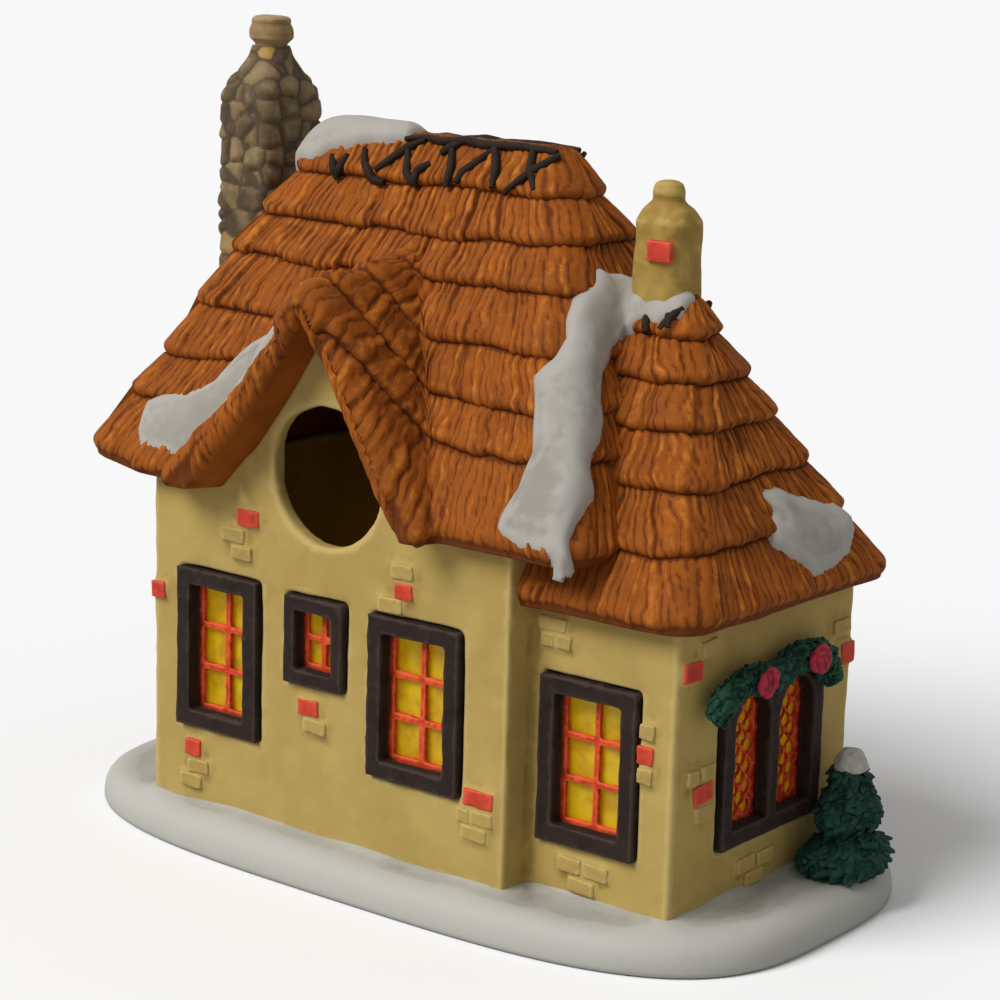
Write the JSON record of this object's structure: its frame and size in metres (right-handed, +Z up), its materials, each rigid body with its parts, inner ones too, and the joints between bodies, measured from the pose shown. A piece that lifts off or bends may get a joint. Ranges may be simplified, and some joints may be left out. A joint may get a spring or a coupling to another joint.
{
  "type": "light-up christmas village cottage",
  "caption": "Hollow porcelain village cottage with thatched roofs, cross gable with round lamp opening, side wing, chimneys and snow base.",
  "frame": {"origin": "middle of the snow base's underside, at the bottom centre of the bounding box", "axes": "+Z up; -Y faces the viewer of the long side with the lamp opening; +X runs toward the wing with the arched window"},
  "size_m": [0.198, 0.113, 0.1921],
  "materials": {
    "snow": "unglazed matt white porcelain",
    "cream_wall": "unglazed porcelain painted matt cream",
    "thatch": "unglazed porcelain painted russet with a dry wash",
    "chimney_stone": "unglazed porcelain painted grey brown",
    "chimney_clay": "unglazed porcelain painted clay brown",
    "dark_frame": "unglazed porcelain painted dark brown",
    "orange_bars": "unglazed porcelain painted orange red",
    "yellow_film": "yellow translucent film",
    "evergreen": "unglazed porcelain painted dark green",
    "crimson_bow": "unglazed porcelain painted crimson",
    "door_brown": "unglazed porcelain painted brown",
    "knob_gold": "unglazed porcelain painted gold"
  },
  "bodies": {
    "root": {"snow_base": "snow", "main_rear_wall": "cream_wall", "main_front_wall": "cream_wall", "main_left_wall": "cream_wall", "main_right_wall": "cream_wall", "wing_rear_wall": "cream_wall", "wing_front_wall": "cream_wall", "wing_end_wall": "cream_wall", "main_roof": "thatch", "cross_gable_roof": "thatch", "wing_roof": "thatch", "stone_chimney": "chimney_stone", "chimney_pot": "chimney_clay", "small_chimney": "cream_wall", "rear_left_window_frame": "dark_frame", "rear_left_window_bars": "orange_bars", "rear_left_window_film": "yellow_film", "rear_small_window_frame": "dark_frame", "rear_small_window_bars": "orange_bars", "rear_small_window_film": "yellow_film", "rear_right_window_frame": "dark_frame", "rear_right_window_bars": "orange_bars", "rear_right_window_film": "yellow_film", "wing_rear_window_frame": "dark_frame", "wing_rear_window_bars": "orange_bars", "wing_rear_window_film": "yellow_film", "front_left_window_frame": "dark_frame", "front_left_window_bars": "orange_bars", "front_left_window_film": "yellow_film", "front_right_window_frame": "dark_frame", "front_right_window_bars": "orange_bars", "front_right_window_film": "yellow_film", "wing_front_window_frame": "dark_frame", "wing_front_window_bars": "orange_bars", "wing_front_window_film": "yellow_film", "wing_front_window_sill": "dark_frame", "arched_window_frame": "dark_frame", "arched_window_lattice": "orange_bars", "arched_window_film": "yellow_film", "front_door_frame": "dark_frame", "front_door": "door_brown", "front_door_knob": "knob_gold", "front_door_step": "chimney_stone", "tree": "evergreen", "tree_snow": "snow", "garland": "evergreen", "left_bow": "crimson_bow", "right_bow": "crimson_bow", "ridge_snow": "snow", "gable_snow": "snow", "valley_snow": "snow", "wing_snow": "snow", "front_roof_snow": "snow"}
  },
  "joints": []
}
